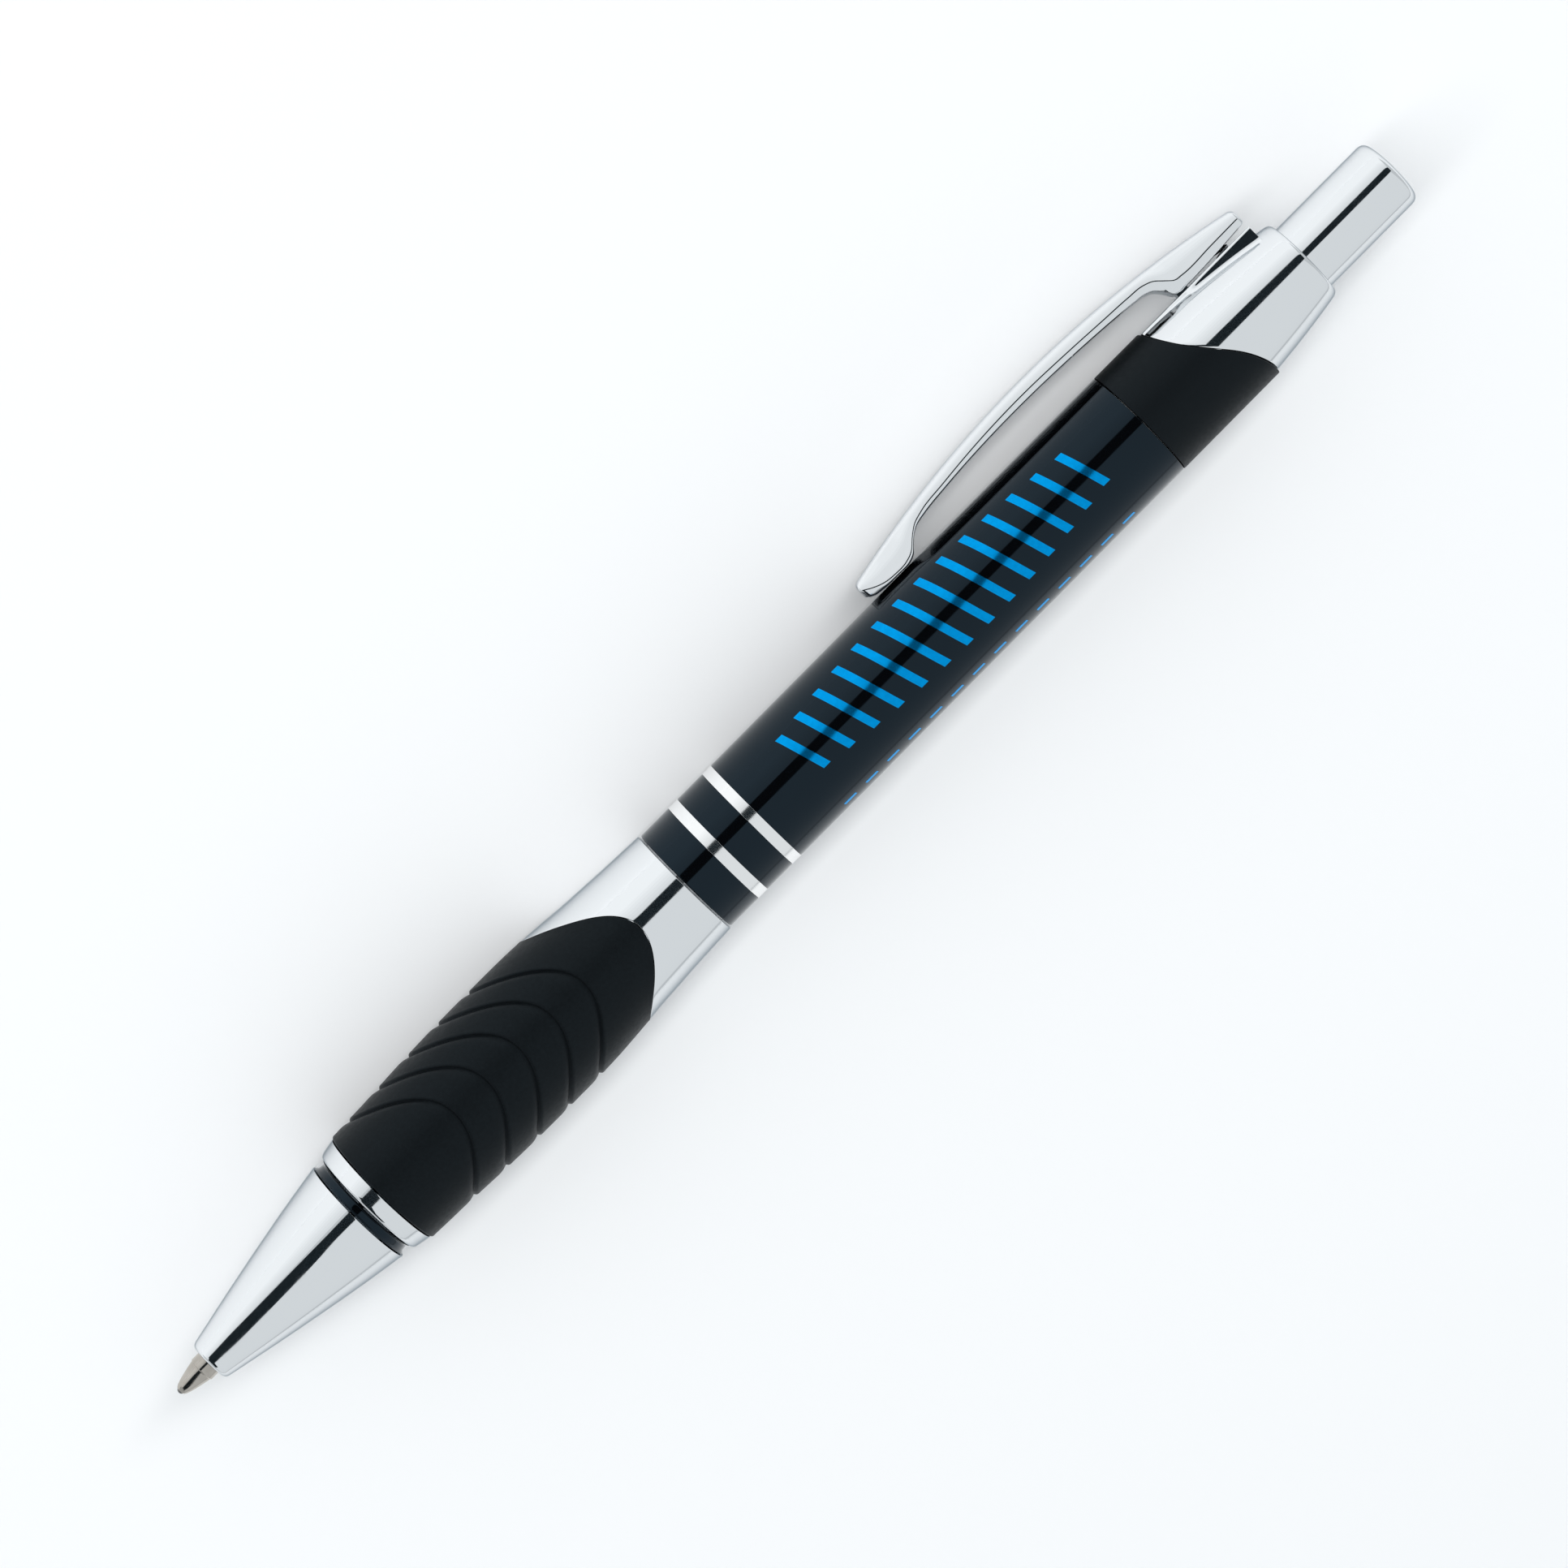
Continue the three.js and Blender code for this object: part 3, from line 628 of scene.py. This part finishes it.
def cap_outline(angle):
    """The cap's taper from the collar's edge to its flat end, merged with the ridge next to the clip."""
    edge = collar_edge(angle) + 0.05
    middle = max(RIDGE_STEP - 0.3, edge + 0.6)
    stations = [*np.linspace(edge + 0.12, middle, 14), *np.linspace(middle + 0.12, RIDGE_END, 24)]
    outside = []
    for x in stations:
        radius = cap_radius(x)
        if math.cos(angle) > 0.5 and abs(math.sin(angle)) * radius < RIDGE_HALF + 0.2:
            radius = smooth_min(radius, RIDGE_TOP / math.cos(angle), 0.15)
        outside.append((x, smooth_max(radius, ridge_radius(x, angle), 0.4)))
    return rounded([
        (CAP_FRONT, SLEEVE_RADIUS + BORE_GAP), (CAP_FRONT, CAP_SPIGOT), (edge, CAP_SPIGOT),
        (edge, outside[0][1] - 0.03, 0.05), *outside, (RIDGE_END + 0.03, cap_radius(RIDGE_END + 0.03)),
        (CAP_END, cap_radius(CAP_END), 0.62),
        (CAP_END, CAP_BORE, 0.08), (CAP_SHOULDER, CAP_BORE), (CAP_SHOULDER, FLANGE_BORE),
        (SLEEVE_REAR, FLANGE_BORE), (SLEEVE_REAR, SLEEVE_RADIUS + BORE_GAP),
    ])


HINGE = np.array(JOINTS["clip_hinge"]["pos_m"]) - np.array(POINT)
HINGE_X, HINGE_Y = HINGE @ np.array(ALONG) / MM, HINGE @ np.array(UP) / MM
PIN_HOLE = 0.46
SPRING_X, SPRING_HOLE = 125.4, 0.95
LEG_HALF_X, LEG_HALF_WIDTH, SLOT_GAP = 0.55, 1.3, 0.2


def end_cap():
    """The round cap with the clip's ridge, slotted for the clip's leg and bored for its pin and spring."""
    steps = [np.arange(0, 20, 1.6), np.arange(20, 36, 0.45), np.arange(36, 60, 1.6)]
    near = np.radians(np.concatenate(steps))
    far = np.linspace(math.radians(60), math.pi, 54, endpoint=False)
    half = np.concatenate([near, far])
    angles = np.concatenate([half, [math.pi], 2 * math.pi - half[:0:-1]])
    cap = turned("end_cap_shell", cap_outline, None, CHROME, angles=angles)
    slot_x, slot_z = LEG_HALF_X + SLOT_GAP, LEG_HALF_WIDTH + SLOT_GAP
    slot = block((HINGE_X - slot_x, 3.7, -slot_z), (HINGE_X + slot_x, 7, slot_z))
    pin_hole = rod((HINGE_X, HINGE_Y, -3.5), (HINGE_X, HINGE_Y, RIDGE_HALF - 0.45), PIN_HOLE)
    spring_hole = rod((SPRING_X, 3.92, 0), (SPRING_X, 7, 0), SPRING_HOLE)
    for tool in (slot, pin_hole, spring_hole):
        combine(cap, tool, "DIFFERENCE")
    smooth(cap, 32)
    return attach(cap, "pen_body")


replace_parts(turned("collar_sleeve", collar_outline, "pen_body", SATIN), "rear_collar")
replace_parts(end_cap(), "end_cap")


# Clip

# Its side view: the crease where the side turns in, and the underside, by their height over the axis
crease = curve(
    (85.2, 6.45), (85.9, 6.0), (87.0, 5.52), (88.3, 5.36), (89.6, 5.42), (90.4, 5.72), (91.3, 6.5),
    (92.1, 7.07), (93.3, 7.45), (96.1, 7.76), (100.5, 8.12), (106.0, 8.25), (110.8, 8.07), (114.8, 7.84),
    (117.2, 7.7), (118.9, 7.5), (119.7, 7.15), (120.3, 6.6), (120.9, 6.05), (121.6, 5.92), (125, 5.92),
    (128.2, 5.95),
)
underside = curve(
    (85.2, 5.75), (85.8, 5.42), (86.7, 5.25), (88.5, 5.22), (89.8, 5.24), (90.4, 5.5), (91.0, 6.1),
    (91.6, 6.62), (92.3, 6.98), (93.4, 7.2), (96.1, 7.47), (100.5, 7.73), (105.5, 7.79), (110.8, 7.62),
    (115.2, 7.33), (117.4, 7.12), (118.5, 6.95), (119.2, 6.6), (119.7, 6.0), (120.1, 5.35), (120.5, 5.14),
    (121.5, 5.13), (128.2, 5.42),
)


def clip_top(x):
    return 9.35 - (x - 106.2) ** 2 / 200


def clip_section(x):
    """Half of the clip's cross-section, from the middle of its back to the middle of its underside."""
    half = 1.9 + 0.3 * (x - CLIP_FRONT) / (CLIP_REAR - CLIP_FRONT)
    end = min((x - CLIP_FRONT) / 0.45, (CLIP_REAR - x) / 0.5, 1.0)
    inset = 0.32 * (1 - math.sqrt(max(0.0, 1 - (1 - end) ** 2)))
    top, middle, bottom = clip_top(x) - inset, crease(x), underside(x) + inset * 0.5
    middle = min(max(middle, bottom + 0.12), top - 0.3)
    half -= inset
    side = top - middle
    corners = [
        (0.0, top), (half - 0.22 * side - 0.42, top - 0.01, 0.1), (half - 0.22 * side, top - 0.2, 0.16),
        (half - 0.09 * side, middle + 0.5 * side, 0.3), (half, middle, 0.15),
        (half - 0.36 * min(1.0, middle - bottom) - 0.03, bottom, 0.13), (0.0, bottom),
    ]
    first, last = corners[0], corners[-1]
    return [first] + rounded([first, *corners[1:-1], last], 4)[1:-1] + [last]


def clip():
    """An arched casting with a crowned back, a pad that rests on the barrel and a tail over the cap."""
    rounding = np.array([0, 0.03, 0.08, 0.16, 0.28, 0.45])
    xs = np.concatenate([
        CLIP_FRONT + rounding, np.arange(85.9, 94, 0.16), np.arange(94, 117, 0.6),
        np.arange(117, 122, 0.12), np.arange(122, 127.5, 0.5), CLIP_REAR - rounding[::-1],
    ])
    rings = []
    for x in xs:
        half = clip_section(x)
        other = [(-z, y) for z, y in half[-2:0:-1]]
        rings.append(np.array([(x, y, z) for z, y in half + other]))
    points, faces = woven(rings, wrap_rings=False)
    size = len(rings[0])
    faces += [list(range(size)), list(range(len(points) - size, len(points)))]
    piece = add_piece("clip_cast", points, faces, None, CHROME)
    leg_low = (HINGE_X - LEG_HALF_X, HINGE_Y - 0.6, -LEG_HALF_WIDTH)
    combine(piece, block(leg_low, (HINGE_X + LEG_HALF_X, 6.0, LEG_HALF_WIDTH)), "UNION")
    combine(piece, rod((HINGE_X, HINGE_Y, -2.4), (HINGE_X, HINGE_Y, 2.4), PIN_HOLE), "DIFFERENCE")
    combine(piece, rod((SPRING_X, 4.6, 0), (SPRING_X, 6.3, 0), SPRING_HOLE), "DIFFERENCE")
    smooth(piece, 32)
    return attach(piece, "clip")


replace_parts(clip(), "clip")


# Button and point


def button():
    """A hollow push button with a shallow domed end and the flange that stops it inside the cap."""
    dome = [(LENGTH - 0.3 * (r / 2.5) ** 2, r) for r in np.linspace(1.6, 0, 9)]
    body = rounded([
        (PLUNGER_BORE_END, 0), (PLUNGER_BORE_END, PLUNGER_BORE), (FLANGE_FRONT, PLUNGER_BORE),
        (FLANGE_FRONT, FLANGE_RADIUS, 0.08), (FLANGE_REAR, FLANGE_RADIUS, 0.08),
        (FLANGE_REAR, PLUNGER_RADIUS), (118.0, PLUNGER_RADIUS), (LENGTH - 2.5, PLUNGER_RADIUS),
        (LENGTH - 0.32, PLUNGER_RADIUS, 0.7), *dome,
    ])
    return turned("button_shell", lambda angle: body, "plunger", CHROME, solid=True)


def writing_tip():
    """A cone that swells towards the ball's lip, on a slightly thicker shank."""
    outline = rounded([
        (0.8, 0), (0.8, BALL_SOCKET), (BALL_RADIUS, BALL_SOCKET), (0.22, 0.35), (0.24, 0.40, 0.02),
        (0.45, 0.53), (0.8, 0.655),
        (1.2, 0.765), (1.7, 0.885), (2.2, 0.995), (2.62, 1.07, 0.04), (2.66, TIP_RADIUS, 0.05),
        (5.2, TIP_RADIUS), (TIP_REAR, TIP_RADIUS), (TIP_REAR, 0),
    ])
    return turned("writing_tip_turned", lambda angle: outline, "refill", NICKEL, solid=True)


def ball():
    turns = np.linspace(0, math.pi, 24)
    outline = [(BALL_RADIUS * (1 - math.cos(t)), BALL_RADIUS * math.sin(t)) for t in turns]
    return turned("writing_ball", lambda angle: outline, "refill", BALL, solid=True)


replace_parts(button(), "plunger_button")
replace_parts(writing_tip(), "writing_tip")
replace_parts(ball(), "tip_ball")


# Springs: coils wound between the pieces they press on, fixed in place.


def point_of(x, y=0.0, z=0.0):
    return tuple(placed([(x, y, z)])[0])


spring_front, spring_rear = along("return_spring")
wire = 0.2
ends = (spring_front + wire, 0, 0), (spring_rear - wire, 0, 0)
spring = coil("return_spring_coil", *ends, (0, 1, 0), 2.25, wire, 9, STEEL)
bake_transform(spring)
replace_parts(spring, "return_spring")

clip_wire = 0.13
clip_ends = (SPRING_X, 4.15, 0), (SPRING_X, 6.1, 0)
clip_coil = coil("clip_spring_coil", *clip_ends, (1, 0, 0), 0.62, clip_wire, 4, STEEL)
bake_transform(clip_coil)
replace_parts(clip_coil, "clip_spring")


# The pieces inside keep their CAD shape.

INSIDE = {
    "coupling_bush": STEEL, "clip_hinge_pin": STEEL, "cam_sleeve": ACETAL, "cam_rotor": BLUE,
    "thrust_rod": SATIN, "tip_holder": BRASS, "refill_tube": STEEL, "refill_end_plug": BLUE,
}
for node, material in INSIDE.items():
    piece = frame["nodes"][node]
    piece.data.materials.clear()
    piece.data.materials.append(material)


# Studio: a pale floor, soft panels on either side of the camera and a dark card in the gap between them.


PANEL_LENGTH = 2.6  # along the pen, as a share of the panel's distance


def light_panel(name, angle, spread, reach, radiance, color, reflected=True):
    """A panel that faces the pen, spread degrees high, at an angle from the camera's side to the clip."""
    lamp = bpy.data.lights.new(name, "AREA")
    lamp.shape = "RECTANGLE"
    lamp.size = PANEL_LENGTH * reach
    lamp.size_y = 2 * reach * math.tan(math.radians(spread / 2))
    lamp.color = color
    lamp.energy = radiance * math.pi * lamp.size * lamp.size_y
    turn = math.radians(angle)
    direction = ACROSS * math.cos(turn) + UP * math.sin(turn)
    sideways = direction.cross(ALONG)
    rotation = Matrix((ALONG, sideways, direction)).transposed().to_4x4()
    place = Vector((0, POINT.y, POINT.z)) + direction * reach
    piece = bpy.data.objects.new(name, lamp)
    piece.matrix_world = Matrix.Translation(place) @ rotation
    piece.visible_glossy = reflected
    bpy.context.scene.collection.objects.link(piece)


CARD_REACH = 0.9
# Position along the pen in metres, and the card's two edges in degrees from the camera's side to the clip
CARD_ROWS = (
    (-1.3, -56, 10), (-0.75, -56, 12), (-0.68, -50, 16), (-0.62, -28, 19), (-0.56, -19, 14),
    (-0.51, -12.5, 12), (-0.45, -7.5, 11), (-0.4, -6, 13), (-0.25, -4, 14.5), (0.0, -3.7, 15),
    (1.3, -3.7, 15),
)


def gap_card(material):
    """The dark card between the panels, wider where the tapered nose and point mirror it."""
    columns = 9
    rows = []
    for x, low, high in CARD_ROWS:
        turns = np.radians(np.linspace(low, high, columns))
        arc = CARD_REACH * np.array([np.sin(turns), np.cos(turns)])
        rows.append(np.column_stack([np.full(columns, x), *arc]))
    points, faces = woven(rows, wrap_rings=False, wrap_points=False)
    mesh = bpy.data.meshes.new("gap_card")
    centre = np.array((0, POINT.y, POINT.z))
    mesh.from_pydata((points @ PEN / MM + centre).tolist(), [], faces)
    mesh.materials.append(material)
    card = bpy.data.objects.new("gap_card", mesh)
    bpy.context.scene.collection.objects.link(card)


def studio():
    """The floor, the card, the panels and the pale surround."""
    floor_material = principled("floor", (0.90, 0.905, 0.91), roughness=0.7, specular=0.2)
    vary(floor_material, "Roughness", noise(floor_material, 60, 3), 0.62, 0.78)
    mesh = bpy.data.meshes.new("floor")
    corners = [(x, y, 0) for x, y in ((-4, -4), (4, -4), (4, 4), (-4, 4))]
    mesh.from_pydata(corners, [], [(0, 1, 2, 3)])
    mesh.materials.append(floor_material)
    floor = bpy.data.objects.new("floor", mesh)
    bpy.context.scene.collection.objects.link(floor)

    gap_card(principled("black_card", (0.012, 0.018, 0.022), roughness=0.9, specular=0.1))
    # Each panel adds to the pale surround. The narrower ones on the clip's side brighten it in small
    # steps away from the gap, and the last panel fills the shadows without being mirrored.
    light_panel("clip_side", 42, 52, 1.0, 0.2, (1.0, 1.0, 1.0))
    for i in range(5):
        angle, spread, reach = 44.5 + 2.5 * i, 47 - 5 * i, 1.01 + 0.01 * i
        light_panel(f"clip_side_{i + 1}", angle, spread, reach, 0.045, (1.0, 1.0, 1.0))
    light_panel("far_side", -56, 103, 1.0, 0.17, (0.97, 0.99, 1.0))
    light_panel("front_fill", 3, 14, 0.86, 5.0, (1.0, 1.0, 1.0), reflected=False)

    world = bpy.data.worlds.new("studio")
    world.use_nodes = True
    background = world.node_tree.nodes["Background"]
    background.inputs["Color"].default_value = (0.56, 0.59, 0.61, 1)
    background.inputs["Strength"].default_value = 1.0
    bpy.context.scene.world = world
    bpy.context.scene.view_settings.view_transform = "Standard"


def camera():
    """Looks square at the clip's plane, with the pen climbing to the right."""
    lens, distance, tilt = 149.1, 527.0, math.radians(45.25)
    place = Vector(point_of(77.0, 0, distance))
    target = Vector(point_of(69.8, -0.12, 0))
    back = (place - target).normalized()
    right = ALONG * math.cos(tilt) - UP * math.sin(tilt)
    right = (right - back * right.dot(back)).normalized()
    data = bpy.data.cameras.new("camera")
    data.lens = lens
    data.sensor_width = 36.0
    data.clip_start = 0.01
    eye = bpy.data.objects.new("camera", data)
    rotation = Matrix((right, back.cross(right), back)).transposed().to_4x4()
    eye.matrix_world = Matrix.Translation(place) @ rotation
    bpy.context.scene.collection.objects.link(eye)
    bpy.context.scene.camera = eye


studio()
camera()
